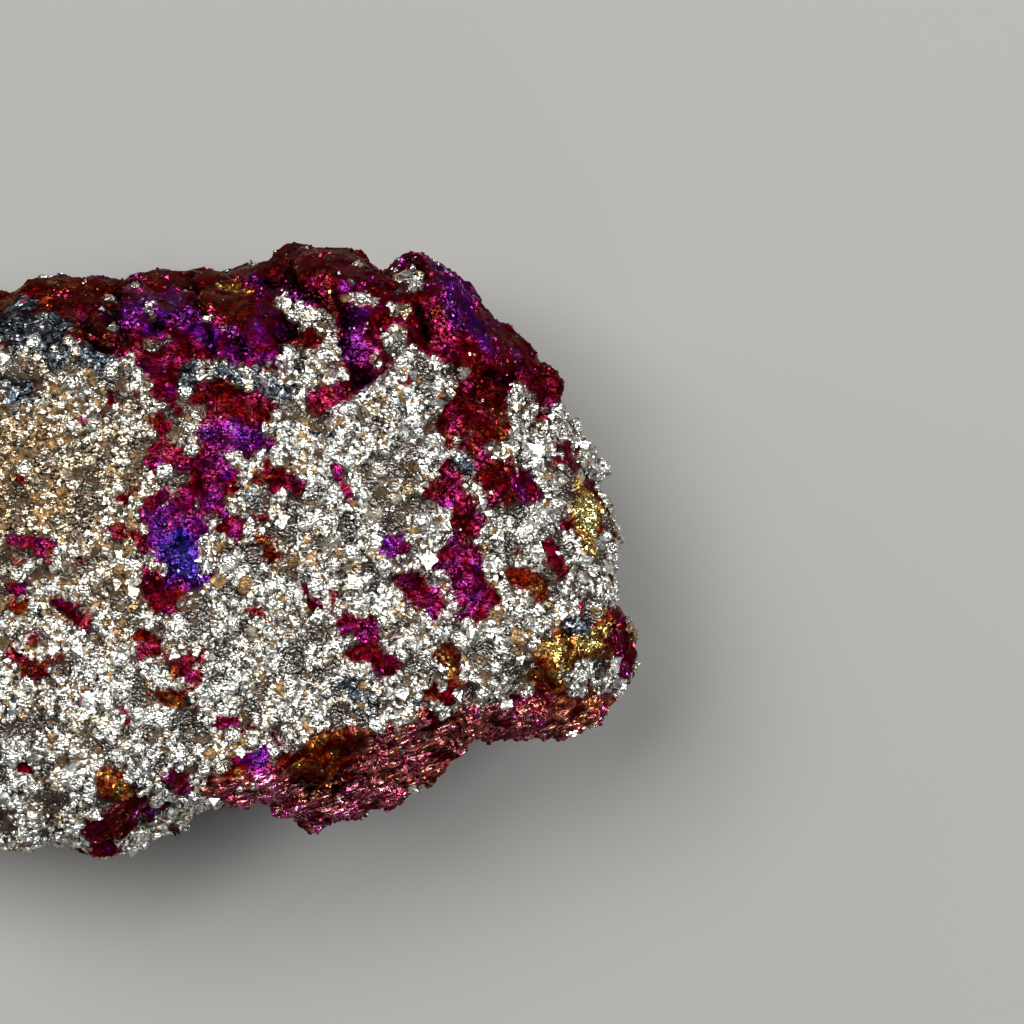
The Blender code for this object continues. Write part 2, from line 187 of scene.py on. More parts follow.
    (-19.8, 1.2, -19.0, -0.9, 0.8, 0.54),  # magenta patch
    (-17.4, -0.6, -16.6, -1.4, 0.45, 0.44),  # crimson spot
    (-16.6, -5.4, -18.0, -6.2, 0.6, 0.26),  # orange spot
    (-21.6, -1.0, -22.4, -3.2, 0.8, 0.47),  # crimson patch
    (-10.2, -8.6, -11.4, -9.0, 0.5, 0.50),  # magenta spot
    (-20.2, -6.2, -21.6, -6.6, 0.7, 0.36),  # copper patch
    (-6.6, -12.4, -8.6, -12.2, 0.7, 0.40),  # crimson band
    (-9.8, -12.4, -12.2, -11.4, 0.9, 0.33),  # copper band
    (-13.4, -11.0, -15.6, -10.6, 0.8, 0.50),  # magenta band
    (-17.2, -9.8, -19.0, -8.6, 0.7, 0.42),  # crimson band
    (-22.6, -6.4, -23.6, -4.6, 0.6, 0.15),  # brass end
)

# Pyrite that sits in the middle of the ore: streaks without a tarnish.
PYRITE_STREAKS = (
    (1.4, 11.7, 1.6, 11.4, 0.29),  # on the violet knob
    (1.3, 9.9, 1.9, 10.0, 0.38),  # under the violet knob
    (8.7, 11.5, 8.9, 11.2, 0.29),  # between lobes
    (9.2, 11.0, 10.0, 10.2, 0.43),  # between lobes
    (9.5, 8.7, 10.3, 9.6, 0.62),  # foot of the thick edge
    (11.5, 11.8, 12.1, 12.0, 0.34),  # beside the crease
    (13.7, 13.2, 14.4, 12.7, 0.38),  # in the notch
    (13.2, 11.6, 13.6, 11.2, 0.29),  # in the notch
    (13.2, 9.5, 15.4, 8.0, 0.96),  # right foot
    (0.4, 9.0, 0.9, 7.9, 0.38),  # left foot
    (18.9, 7.5, 19.2, 6.6, 0.43),  # right column
    (22.5, -6.5, 23.0, -6.7, 0.34),  # corner
)

# Grey and blue-black streaks.
STEEL_STREAKS = (
    (-5.1, 10.9, -2.9, 9.8, 1.15),  # grey corner
    (-5.4, 8.0, -4.7, 7.4, 0.62),  # grey corner
    (-1.9, 9.5, -0.7, 8.8, 0.77),  # grey foot
    (3.2, 8.7, 3.5, 8.3, 0.38),  # grey foot
    (4.6, 8.8, 5.8, 8.5, 0.36),  # grey foot
    (6.6, 8.3, 8.1, 7.7, 0.36),  # grey foot
    (16.3, 4.4, 16.5, 4.2, 0.43),  # blue grey spot
    (9.4, 5.7, 10.3, 5.6, 0.34),  # grey spot
    (6.2, 2.9, 6.6, 2.4, 0.34),  # grey spot
    (21.5, -3.6, 22.2, -3.8, 0.34),  # grey spot
    (0.9, -11.1, 1.3, -11.4, 0.38),  # grey spot
    (11.1, -6.6, 12.1, -7.2, 0.34),  # grey spot
    (-10.4, 7.2, -11.6, 7.0, 0.5),  # grey foot
    (-15.4, 5.4, -16.6, 4.8, 0.6),  # grey foot
    (-19.2, -4.0, -19.8, -4.6, 0.4),  # grey spot
)

AMBER_LOBE = (9.2, -9.8, 10.6, -10.4, 1.3)  # smooth, so it gleams less

# Clefts between the knobs of the thick edge, and deep hollows: dented into the rock, with painted shade
# (near black) in them.
SHADED_CLEFTS = (
    (-0.3, 12.8, 0.0, 10.3, 0.41),  # beside the violet knob
    (-1.7, 10.9, -0.4, 9.9, 0.61),  # hollow under the orange knobs
    (1.6, 11.2, 2.7, 11.0, 0.43),  # beside the violet knob
    (3.5, 12.8, 3.8, 11.8, 0.41),  # before the copper brow
    (3.8, 11.8, 4.3, 9.7, 0.43),
    (5.2, 10.5, 5.9, 9.4, 0.38),  # across the violet slope
    (7.3, 13.0, 9.2, 12.6, 0.54),  # under the magenta ledge
    (9.2, 12.6, 9.7, 11.4, 0.54),
    (8.0, 11.7, 8.2, 9.5, 0.43),
    (10.9, 12.0, 11.4, 8.4, 0.49),  # violet crease
    (14.3, 11.4, 14.7, 10.7, 0.49),  # in the crimson bump
    (14.0, 13.7, 14.4, 13.4, 0.41),
    (17.7, 8.3, 19.2, 8.0, 0.43),  # in the maroon shoulder
    (8.9, -11.3, 10.4, -11.8, 0.38),  # under the amber lobe
    (-7.4, 10.6, -7.0, 8.6, 0.43),  # far half, between the knobs
    (-10.9, 10.2, -10.4, 8.2, 0.46),
    (-14.8, 9.0, -14.2, 7.2, 0.46),
    (-19.4, 7.6, -18.2, 5.2, 0.46),
)

# ---------------------------------------------------------------- noise and fades

# Layers of noise, as rows of strength, size and seed.
RAGGED_RIMS = ((0.5, 0.9, 0.0), (0.4, 0.4, 5.0))
PUSH_ALONG = ((0.55, 1.7, 1.0), (0.3, 0.6, 2.0))
PUSH_ACROSS = ((0.55, 1.7, 4.0), (0.3, 0.6, 6.0))
VEINS = ((1.1, 8.0, 11.0), (0.7, 3.0, 3.0))
FILM_STAINS = ((0.12, 0.9, 17.0), (0.10, 0.4, 19.0))
GLEAMS = ((0.8, 1.5, 51.0), (0.8, 0.55, 53.0))


def noise_of(points, size, seed=0.0):
    """Smooth noise from -1 to 1 at each point, with features of the given size."""
    return np.array([noise.noise(place) for place in (points / size + seed).tolist()])


def noises_of(points, layers):
    """Layers of noise added up."""
    return sum(strength * noise_of(points, size, seed) for strength, size, seed in layers)


def knobs_of(points, size, seed):
    """How near each point is to the middle of a random knob: 1 there, 0 between knobs."""
    away = [noise.voronoi(place)[0][0] for place in (points / size + seed).tolist()]
    return 1 - np.clip(np.array(away), 0, 1)


def chips_of(points, size, seed=0.0):
    """Height, in parts of size, of random cells whose flat tops each lean their own way."""
    places = points / size + seed
    seats = np.array([noise.voronoi(place)[1][0] for place in places.tolist()])
    x, y, z = seats.T
    # Large odd factors make each cell's lean look random.
    scrambled = np.stack([x * 12.99 + y * 78.23, y * 39.35 + z * 11.14, z * 73.16 + x * 9.7], axis=1)
    lean = np.sin(scrambled * 43.7)
    return ((places - seats) * lean).sum(axis=1)


def eased(value, low, high):
    """0 below low, 1 above high and a smooth step between."""
    share = np.clip((value - low) / (high - low), 0, 1)
    return share * share * (3 - 2 * share)


def fading(value, low, high):
    """1 below low, 0 above high and a smooth step between."""
    return eased(-value, -high, -low)


# ---------------------------------------------------------------- fields over the lump

FACE_FADE = (3.5, 6.5)  # heights between which the sides' veins give way to the face's streaks
THICK_EDGE_RISE = 2.4  # how much higher they do so on the thick edge
THICK_EDGE_FADE = (5.0, 9.0)
CLEFT_FADE = (8.5, 11.5)  # heights between which the clefts begin
SWAY = 3.0
FILM_RANGE = (0.02, 0.97)  # the thinnest and thickest film
TAN_MIDDLE, TAN_REACH = (-5.0, 3.2), (7.5, 6.0)  # where the pyrite is stained tan


def seen_places(points):
    """Where each point shows, at the level of the broken face, to the eye above it."""
    share = (CAMERA_HEIGHT - FACE_LEVEL) / (CAMERA_HEIGHT - points[:, 2])
    return VIEW_CENTRE + (points[:, :2] - VIEW_CENTRE) * share[:, None]


def stirred_places(points):
    """The points' places among the streaks, pushed about so that no streak runs straight."""
    places = seen_places(points)
    # Down the sides the streaks sway along the edge.
    sway = SWAY * fading(points[:, 2], 6.0, 15.0) * noise_of(points, 4.0, 21.0)
    long_side = eased(np.abs(points[:, 1]), 6.0, 9.0)
    places[:, 0] += sway * long_side
    places[:, 1] += sway * (1 - long_side)
    places[:, 0] += noises_of(points, PUSH_ALONG)
    places[:, 1] += noises_of(points, PUSH_ACROSS)
    return places


def nearness(places, streaks):
    """For each streak, how far inside it each place is: 1 on its middle line, 0 on its rim."""
    rows = []
    for x1, y1, x2, y2, half_width in streaks:
        start, along = np.array((x1, y1)), np.array((x2 - x1, y2 - y1))
        from_start = places - start
        share = np.clip(from_start @ along / (along @ along), 0, 1)
        away = np.linalg.norm(from_start - share[:, None] * along, axis=1)
        rows.append(1 - away / half_width)
    return np.array(rows)


def streaked_ore(points, places):
    """On the broken face: how much ore there is at each point, and its film's thickness."""
    streaks = nearness(places, [row[:5] for row in ORE_STREAKS])
    films = np.array([row[5] for row in ORE_STREAKS])
    pyrite = nearness(places, PYRITE_STREAKS).max(axis=0)
    ore = np.minimum(streaks.max(axis=0) + 0.12, 0.2 - 1.2 * pyrite)
    specks = 1.6 * (noise_of(points, 1.1, 31.0) - 0.50)
    # Where streaks meet, the nearer one's film counts for more.
    weights = np.exp(3.5 * np.clip(streaks, -1.5, 1))
    film = (weights * films[:, None]).sum(axis=0) / weights.sum(axis=0)
    return np.maximum(ore, specks), film


def veined_ore(points):
    """On the sides and the underside the same two, for ore in broad veins."""
    x, y, _ = points.T
    ore = noises_of(points, VEINS)
    ore += 0.6 * eased(y, 2.0, 9.0) - 0.12
    ore += 1.2 * fading(y, -7.0, -4.0) * eased(x, 0.0, 4.0)
    return ore, 0.50 + 0.42 * noise_of(points, 4.5, 7.0)


def pale_band(points):
    """The pale fibrous copper ore along the lower edge."""
    x, y, _ = points.T
    lip = fading(y, -11.3, -10.3) * eased(x, 2.0, 5.0)
    return fading(y, -8.5, -6.5) * np.maximum(eased(x, 10.5, 12.5), lip)


def ore_gleam(points, places, film, pale):
    """How strongly the ore gleams: in spots, more on violet and brass, less on the thick edge."""
    gleam = noises_of(points, GLEAMS)
    gleam -= 0.18 * eased(points[:, 1], 5.0, 8.5) - 0.04
    gleam += 0.34 * eased(film, 0.46, 0.60) * fading(film, 0.76, 0.86)
    gleam += 0.8 * fading(film, 0.18, 0.26)
    gleam += 0.25 * pale - 0.5 * eased(nearness(places, [AMBER_LOBE])[0], 0.0, 0.5)
    return eased(gleam, -0.02, 0.42)


def ore_fields(points):
    """How much of each there is at each point, and the thickness of the ore's tarnish film."""
    x, y, z = points.T
    upper = eased(z - THICK_EDGE_RISE * eased(y, *THICK_EDGE_FADE), *FACE_FADE)
    ragged = noises_of(points, RAGGED_RIMS)
    places = stirred_places(points)
    streaked, streaked_film = streaked_ore(points, places)
    veined, veined_film = veined_ore(points)
    ore = upper * streaked + (1 - upper) * veined + 0.85 * ragged
    film = upper * streaked_film + (1 - upper) * veined_film
    film += noises_of(points, FILM_STAINS)
    steel = upper * nearness(places, STEEL_STREAKS).max(axis=0)
    steel += (1 - upper) * (noise_of(points, 3.5, 23.0) - 0.35) * 2 + 0.5 * ragged
    across, up = (x - TAN_MIDDLE[0]) / TAN_REACH[0], (y - TAN_MIDDLE[1]) / TAN_REACH[1]
    tan = np.exp(-(across**2) - up**2)
    layered = points * (0.6, 1.0, 1.0)
    ochre = 0.17 + 0.34 * tan + 0.45 * noise_of(layered, 1.3, 71.0)
    pale = pale_band(points)
    clefts = nearness(places, SHADED_CLEFTS).max(axis=0)
    return {
        "ore": eased(ore, -0.04, 0.16),
        "film": np.clip(film, *FILM_RANGE),
        "steel": eased(steel, 0.0, 0.25),
        "gleam": ore_gleam(points, places, film, pale),
        "ochre": np.clip(ochre, 0, 1),
        "tan": tan,
        "pale": pale,
        # how deep each cleft is dented, and how dark its painted shade is
        "cleft": eased(z, *CLEFT_FADE) * eased(clefts, 0.05, 0.6),
    }


# ---------------------------------------------------------------- meshes


def points_of(mesh, what="vertices", attribute="co"):
    """The mesh's points, or its vertex normals, as rows of x, y and z."""
    found = np.empty(len(mesh.vertices) * 3, np.float32)
    getattr(mesh, what).foreach_get(attribute, found)
    return found.reshape(-1, 3).astype(float)


def write_values(mesh, values):
    """Stores a number at each point under each label, for the finishes to read."""
    for label, amounts in values.items():
        layer = mesh.attributes.new(label, "FLOAT", "POINT")
        layer.data.foreach_set("value", amounts.astype(np.float32))


def read_value(mesh, label):
    """The number stored at each point under the label."""
    amounts = np.empty(len(mesh.vertices), np.float32)
    mesh.attributes[label].data.foreach_get("value", amounts)
    return amounts


def new_piece(name, points, blocks, material, values):
    """A piece from points in millimetres, (face corners, smooth) blocks and values per point."""
    mesh = bpy.data.meshes.new(name)
    corners = np.concatenate([faces.ravel() for faces, _ in blocks])
    sizes = np.concatenate([np.full(len(faces), faces.shape[1]) for faces, _ in blocks])
    mesh.vertices.add(len(points))
    mesh.loops.add(len(corners))
    mesh.polygons.add(len(sizes))
    mesh.vertices.foreach_set("co", (points * MILLIMETRE).ravel())
    mesh.loops.foreach_set("vertex_index", corners)
    mesh.polygons.foreach_set("loop_start", np.cumsum(sizes) - sizes)
    mesh.update(calc_edges=True)
    mesh.polygons.foreach_set("use_smooth", np.concatenate([smooth for _, smooth in blocks]))
    write_values(mesh, values)
    mesh.materials.append(material)
    piece = bpy.data.objects.new(name, mesh)
    bpy.context.scene.collection.objects.link(piece)
    return piece


# ---------------------------------------------------------------- the rock

ROCK_VOXEL = 0.245  # size of the rock surface's faces
WELD_GAP = 0.001  # the solid's corners closer than this are one
GRAIN_ROOM = 0.20  # the rock lies this far inside the solid, to leave room for the grains
LOWEST = 0.02  # the rock's underside clears the floor by this much
CLEFT_DEPTH = 0.45
CHIP_STRETCH = (1.0, 0.6, 0.8)  # below 1 where the chips are drawn out
BAND_ALONG, BAND_ACROSS = (0.94, 0.33, 0.0), (-0.33, 0.94, 0.0)  # the lower band's own axes
FIBRE_STRETCH = 0.3


def remeshed(lump):
    """A copy of the solid with small even faces, as an object of its own."""
    rock = bpy.data.objects.new("tarnished_rock", lump.data.copy())
    bpy.context.scene.collection.objects.link(rock)
    weld = rock.modifiers.new("closed", "WELD")
    weld.merge_threshold = WELD_GAP * MILLIMETRE
    remesh = rock.modifiers.new("fine", "REMESH")
    remesh.mode = "VOXEL"
    remesh.voxel_size = ROCK_VOXEL * MILLIMETRE
    smooth = rock.modifiers.new("smooth", "SMOOTH")
    smooth.iterations = 3
    graph = bpy.context.evaluated_depsgraph_get()
    mesh = bpy.data.meshes.new_from_object(rock.evaluated_get(graph))
    rock.modifiers.clear()
    rock.data = mesh
    return rock


def ore_relief(points, normals, fields):
    """Height of the ore's skin: leaning chips, fibres, round lobes on the thick edge, clefts."""
    relief = 0.44 * chips_of(points * CHIP_STRETCH, 1.6) + 0.14 * chips_of(points, 0.8, 9.0)
    relief += 0.24 * noise_of(points, 1.0)
    fibres = np.stack([points @ BAND_ALONG * FIBRE_STRETCH, points @ BAND_ACROSS, points[:, 2]], axis=1)
    relief += 0.30 * fields["pale"] * chips_of(fibres, 0.8, 3.0)
    thick_edge = eased(normals[:, 1], 0.15, 0.60)
    lobes = 0.52 * knobs_of(points, 2.1, 13.0) + 0.20 * knobs_of(points, 0.8, 15.0) - 0.34
    return relief + (lobes - relief) * 0.6 * thick_edge - CLEFT_DEPTH * fields["cleft"]


def crust_relief(points, fields):
    """Height of the pyrite crust: nodules of two sizes, lower where it is stained tan."""
    nodules = 0.60 * knobs_of(points, 1.25, 41.0) + 0.34 * noise_of(points, 0.75, 43.0) - 0.28
    return nodules * (1 - 0.45 * fields["tan"])


def make_rock(lump, material):
    """The rock's own surface: the solid's shape, with the relief of the ore and of the crust."""
    rock = remeshed(lump)
    mesh = rock.data
    points = points_of(mesh) / MILLIMETRE
    normals = points_of(mesh, "vertex_normals", "vector")
    fields = ore_fields(points)
    crust = crust_relief(points, fields)
    # Painted shade: how low the crust lies, used to darken its hollows; the deepest also get no grains.
    fields["hollow"] = fading(crust, -0.12, 0.10)
    # A darker, duller brown in patches on the faces turned towards the thick edge, above about 6 mm.
    weathered = eased(normals[:, 1], 0.65, 0.97) * eased(points[:, 2], 6.0, 10.0)
    fields["weathered"] = 0.45 * weathered * eased(noise_of(points, 1.0, 81.0), -0.1, 0.35)
    write_values(mesh, fields)

    ore = fields["ore"]
    skin = ore_relief(points, normals, fields)
    rise = ore * (skin + 0.08) + (1 - ore) * crust - GRAIN_ROOM
    lowest = max(points[:, 2].min(), 0.0) + LOWEST
    points = points + normals * rise[:, None]
    points[:, 2] = np.maximum(points[:, 2], lowest)
    mesh.vertices.foreach_set("co", (points * MILLIMETRE).ravel())
    mesh.update()
    mesh.shade_smooth()
    mesh.materials.clear()
    mesh.materials.append(material)
    return rock


# ---------------------------------------------------------------- crystals and grains

CRYSTAL_LABELS = ("film", "gleam", "steel", "luck", "warmth", "ochre", "rounded")
ANGULAR_SHARES = (0.5, 0.25, 0.25)  # of cubes, octahedra and spindles
BALL = len(ANGULAR_SHARES)  # the balls come after those
BALL_RADIUS = 0.15  # rounded grains larger than this are balls
GRAIN_LOWEST = 0.03  # no grain reaches below this


def crystal_forms():
    """Unit crystals as (points, face corners): a cube, an octahedron, a spindle and a ball."""
    cube = np.array([(x, y, z) for x in (-1, 1) for y in (-1, 1) for z in (-1, 1)], float)
    cube[:, :2] *= np.where(cube[:, 2:] > 0, 0.85, 1.1)
    cube_faces = [(0, 1, 3, 2), (4, 6, 7, 5), (0, 4, 5, 1), (2, 3, 7, 6), (0, 2, 6, 4), (1, 5, 7, 3)]
    octahedron = np.array([(1, 0, 0), (-1, 0, 0), (0, 1, 0), (0, -1, 0), (0, 0, 1), (0, 0, -1)], float)
    octahedron_faces = [
        (0, 2, 4), (2, 1, 4), (1, 3, 4), (3, 0, 4), (2, 0, 5), (1, 2, 5), (3, 1, 5), (0, 3, 5)
    ]
    turns = np.arange(5) * math.tau / 5
    ring = np.stack([np.cos(turns), np.sin(turns), np.zeros(5)], axis=1)
    spindle = np.concatenate([ring, [(0, 0, 0.8), (0, 0, -0.8)]])
    spindle_faces = [(i, (i + 1) % 5, 5) for i in range(5)] + [((i + 1) % 5, i, 6) for i in range(5)]
    lower_ring = -ring * 0.894 - (0, 0, 0.447)
    ball = np.concatenate([ring * 0.894 + (0, 0, 0.447), lower_ring, [(0, 0, 1), (0, 0, -1)]])
    ball_faces = []
    for i in range(5):
        after, across, beyond = (i + 1) % 5, 5 + (i + 3) % 5, 5 + (i + 4) % 5
        ball_faces += [(i, after, 10), (across, after, i), (across, beyond, after), (beyond, across, 11)]
    return (
        (cube * 0.64, np.array(cube_faces)),
        (octahedron * 1.08, np.array(octahedron_faces)),
        (spindle * 1.02, np.array(spindle_faces)),
        (ball, np.array(ball_faces)),
    )


def turned(normals, scatter, rng):
    """Rotation matrices that take Z near each normal, leaning by about scatter (radians)."""
    count = len(normals)
    axis = normals + rng.normal(0, 1, (count, 3)) * scatter[:, None]
    axis /= np.linalg.norm(axis, axis=1)[:, None]
    side = np.cross(axis, rng.normal(size=(count, 3)))
    side /= np.linalg.norm(side, axis=1)[:, None]
    return np.stack([side, np.cross(axis, side), axis], axis=2)


def grain_piece(name, grains, material, rng):
    """One joined mesh of irregular crystals, some of them rounded, at the given places."""
    places, radii, rounded = grains["place"], grains["radius"], grains["rounded"] > 0.5
    kinds = rng.choice(BALL, len(places), p=ANGULAR_SHARES)
    kinds = np.where(rounded & (radii > BALL_RADIUS), BALL, kinds)
    points, blocks, values, start = [], [], {label: [] for label in CRYSTAL_LABELS}, 0
    for kind, (shape, corners) in enumerate(crystal_forms()):
        mine = np.flatnonzero(kinds == kind)
        count, size = len(mine), len(shape)
        stretch = rng.uniform(0.65, 1.35, (count, 1, 3))
        stretch[:, 0, 2] *= 1 - 0.6 * grains["ochre"][mine]
        wobble = rng.normal(0, 0.13, (count, size, 3))
        local = (shape[None] * stretch + wobble) * radii[mine][:, None, None]
        turns = turned(grains["normal"][mine], grains["scatter"][mine], rng)
        placed = np.einsum("nij,nkj->nki", turns, local) + places[mine][:, None, :]
        points.append(placed.reshape(-1, 3))
        offsets = start + np.arange(count)[:, None, None] * size
        faces = (corners[None] + offsets).reshape(-1, corners.shape[1])
        blocks.append((faces, np.repeat(rounded[mine], len(corners))))
        for label in CRYSTAL_LABELS:
            values[label].append(np.repeat(grains[label][mine], size))
        start += count * size
    points = np.concatenate(points)
    points[:, 2] = np.maximum(points[:, 2], GRAIN_LOWEST)
    values = {label: np.concatenate(rows) for label, rows in values.items()}
    return new_piece(name, points, blocks, material, values)


# ---------------------------------------------------------------- finishes

FIRST_COLOUR, SECOND_COLOUR, MIXED_COLOUR = 6, 7, 2  # the Mix node's sockets for colours


class Signal:
    """One output of a finish's nodes. Arithmetic on it adds Math nodes."""

    def __init__(self, finish, socket):
        self.finish, self.socket = finish, socket

    def __add__(self, other):
        return self.finish.maths("ADD", self, other)

    def __sub__(self, other):
        return self.finish.maths("SUBTRACT", self, other)

    def __rsub__(self, other):
        return self.finish.maths("SUBTRACT", other, self)

    def __mul__(self, other):
        return self.finish.maths("MULTIPLY", self, other)

    def __lt__(self, other):
        return self.finish.maths("LESS_THAN", self, other)

    def __abs__(self):
        return self.finish.maths("ABSOLUTE", self)

    __radd__ = __add__
    __rmul__ = __mul__


class Finish:
    """A material in the making: a Principled shader and the nodes that feed it."""

    def __init__(self, name, constants):
        self.material = bpy.data.materials.new(name)
        self.material.use_nodes = True
        self.tree = self.material.node_tree
        self.shader = self.tree.nodes["Principled BSDF"]
        for label, value in constants.items():
            self.set(label, value)

    def set(self, label, value):
        """Gives one of the shader's sockets a value or a signal."""
        self.feed(self.shader.inputs[label], value)

    def feed(self, socket, value):
        if isinstance(value, Signal):
            self.tree.links.new(value.socket, socket)
        else:
            socket.default_value = value

    def node(self, kind, settings, inputs, output=0):
        """Adds a node: its settings first, then its sockets' values or links."""
        node = self.tree.nodes.new(kind)
        for label, value in settings.items():
            if label == "stops":
                fill_ramp(node.color_ramp, value)
            else:
                setattr(node, label, value)
        for label, value in inputs.items():
            self.feed(node.inputs[label], value)
        return Signal(self, node.outputs[output])

    def maths(self, operation, *values):
        return self.node("ShaderNodeMath", {"operation": operation}, dict(enumerate(values)))

    def higher(self, first, second):
        return self.maths("MAXIMUM", first, second)

    def blend(self, share, first, second):
        return first + (second - first) * share

    def clamped(self, value):
        return self.node("ShaderNodeClamp", {}, {"Value": value})

    def vectors(self, operation, *values):
        return self.node("ShaderNodeVectorMath", {"operation": operation}, dict(enumerate(values)))

    def scaled(self, vector, amount):
        inputs = {0: vector, "Scale": amount}
        return self.node("ShaderNodeVectorMath", {"operation": "SCALE"}, inputs)

    def centred(self, colour):
        """A random colour as a random vector around zero."""
        return self.vectors("SUBTRACT", colour, (0.5, 0.5, 0.5))

    def mix(self, share, first, second):
        inputs = {0: share, FIRST_COLOUR: first, SECOND_COLOUR: second}
        return self.node("ShaderNodeMix", {"data_type": "RGBA"}, inputs, MIXED_COLOUR)

    def tinted(self, colour, filter_colour):
        """The colour seen through a film of the second colour."""
        settings = {"data_type": "RGBA", "blend_type": "MULTIPLY"}
        inputs = {0: 1.0, FIRST_COLOUR: colour, SECOND_COLOUR: filter_colour}
        return self.node("ShaderNodeMix", settings, inputs, MIXED_COLOUR)

    def ramp(self, value, stops):
        return self.node("ShaderNodeValToRGB", {"stops": stops}, {"Fac": value})

    def first_part(self, colour):
        return self.node("ShaderNodeSeparateColor", {}, {"Color": colour}, "Red")

    def attribute(self, label):
        return self.node("ShaderNodeAttribute", {"attribute_name": label}, {}, "Fac")

    def place(self):
        return self.node("ShaderNodeTexCoord", {}, {}, "Object")

    def fibrous_place(self):
        """The place, drawn together along the lower band, so that noise there makes fibres."""
        inputs = {"Vector": self.place(), "Rotation": (0, 0, BAND_SLOPE), "Scale": (FIBRE_DRAW, 1, 1)}
        return self.node("ShaderNodeMapping", {"vector_type": "TEXTURE"}, inputs)

    def noise(self, size, detail=2.0, place=None, output="Fac"):
        """Noise from 0 to 1 with features of the given size in millimetres."""
        inputs = {"Vector": place or self.place(), "Scale": 1 / (size * MILLIMETRE), "Detail": detail}
        return self.node("ShaderNodeTexNoise", {}, inputs, output)

    def cells(self, size, output, place=None):
        """Random cells of the given size in millimetres."""
        inputs = {"Vector": place or self.place(), "Scale": 1 / (size * MILLIMETRE)}
        return self.node("ShaderNodeTexVoronoi", {}, inputs, output)

    def bent_place(self, size, amount):
        """The place, pushed about by noise, so that cells there are less regular."""
        push = self.centred(self.noise(size, 1.0, output="Color"))
        return self.vectors("ADD", self.place(), self.scaled(push, amount * MILLIMETRE))

    def ridges(self, size, place=None):
        """Distance from a winding line, 0 on it: creases a few times the given size apart."""
        return abs(self.noise(size, 2.0, place) - 0.5)

    def faceted(self, size, tilt, normal=None):
        """A normal tilted at random in each small cell, like tiny crystal faces."""
        lean = self.scaled(self.centred(self.cells(size, "Color")), tilt)
        if normal is None:
            normal = self.node("ShaderNodeNewGeometry", {}, {}, "Normal")
        return self.vectors("NORMALIZE", self.vectors("ADD", normal, lean))

    def bumped(self, height, normal):
        """The normal over bumps whose height is given in millimetres."""
        inputs = {"Height": height, "Distance": MILLIMETRE, "Strength": 1.0, "Normal": normal}
        return self.node("ShaderNodeBump", {}, inputs)

    def crust(self):
        """Crumpled crust of fine pyrite, domes grown together: (height, painted shade along the outlines
        between the domes, random tone of each dome).
        """
        place = self.bent_place(0.3, 0.15)
        domes, beads = self.cells(DOME, "Distance", place), self.cells(BEAD, "Distance", place)
        height = self.higher(domes * domes * -0.21 - 0.010, beads * beads * -0.135)
        # Painted shade: dark along the edges between the domes.
        outline_shade = self.clamped((domes - 0.43) * 3.0) + self.clamped((beads - 0.52) * 2.5)
        return height, self.clamped(outline_shade), self.first_part(self.cells(DOME, "Color", place))


def fill_ramp(ramp, stops):
    """Gives a colour ramp its stops, rows of (place, colour)."""
    while len(ramp.elements) < len(stops):
        ramp.elements.new(0.5)
    for element, (place, colour) in zip(ramp.elements, stops):
        element.position = place
        element.color = (*colour, 1)


# Tarnish colours by the thickness of the film on the ore, as bright crystal faces show them.
FILM_COLOURS = (
    (0.00, (0.84, 0.82, 0.56)),
    (0.12, (0.74, 0.58, 0.18)),
    (0.24, (0.74, 0.27, 0.06)),
    (0.34, (0.56, 0.09, 0.04)),
    (0.42, (0.52, 0.03, 0.07)),
    (0.50, (0.68, 0.035, 0.21)),
    (0.58, (0.56, 0.05, 0.50)),
    (0.68, (0.36, 0.05, 0.66)),
    (0.80, (0.20, 0.10, 0.86)),
    (0.90, (0.10, 0.14, 0.32)),
    (1.00, (0.10, 0.11, 0.13)),
)
BLACK = (0, 0, 0, 1)
PALE_COPPER = (0.90, 0.47, 0.38, 1)
THICK_EDGE_BROWN = (0.034, 0.020, 0.010, 1)

STEEL = (0.12, 0.135, 0.15, 1)
STEEL_SHADES = (
    (0.0, (0.012, 0.015, 0.018)),
    (0.5, (0.035, 0.043, 0.055)),
    (0.85, (0.12, 0.14, 0.16)),
    (1.0, (0.50, 0.52, 0.52)),
)

# Pyrite from cold silver through warm to the brown of its stains.
PYRITE_SHADES = (
    (0.0, (0.88, 0.90, 0.88)),
    (0.35, (0.84, 0.82, 0.74)),
    (0.62, (0.64, 0.53, 0.36)),
    (0.85, (0.36, 0.24, 0.12)),
    (1.0, (0.20, 0.12, 0.06)),
)
OCHRES = (0.14, 0.068, 0.017, 1), (0.25, 0.14, 0.045, 1)
HOLLOW_SHADE = (0.035, 0.025, 0.018, 1)  # painted shade for the crust's hollows and the outlines between its domes

DOME, BEAD = 0.28, 0.17  # sizes of the crust's two kinds of domes
FINE_FACE, BROAD_FACE = 0.22, 0.45  # sizes of the tilted crystal faces
PATCH = 0.40  # size of the patches that each have a shade of their own
BAND_SLOPE = 0.34  # radians by which the lower band rises to the right
FIBRE_DRAW = 3.5  # how much longer than wide the lower band's fibres are


def tarnish_colour(finish, film, creases, pale, gleam):
    """The ore's colours: deep where it is dull, brighter where it gleams, with painted shade (near
    black) in its creases and clefts.
    """
    bright = finish.ramp(film, FILM_COLOURS)
    deep = finish.tinted(bright, bright)
    bright = finish.mix(pale * 0.5, bright, PALE_COPPER)
    lit = pale * 0.9 + finish.clamped((0.26 - film) * 6.0) * 0.5 + 0.30
    colour = finish.mix(gleam, finish.mix(0.16, BLACK, deep), finish.mix(lit, BLACK, bright))
    # Painted shade: near black along the winding creases.
    colour = finish.mix(finish.clamped(creases * 8.0 + 0.25 - pale * 0.2), BLACK, colour)
    # Darker, duller brown on the faces turned towards the thick edge.
    colour = finish.mix(finish.attribute("weathered"), colour, THICK_EDGE_BROWN)
    # Painted shade: near black in the clefts.
    return finish.mix(finish.attribute("cleft") * 0.94, colour, BLACK)


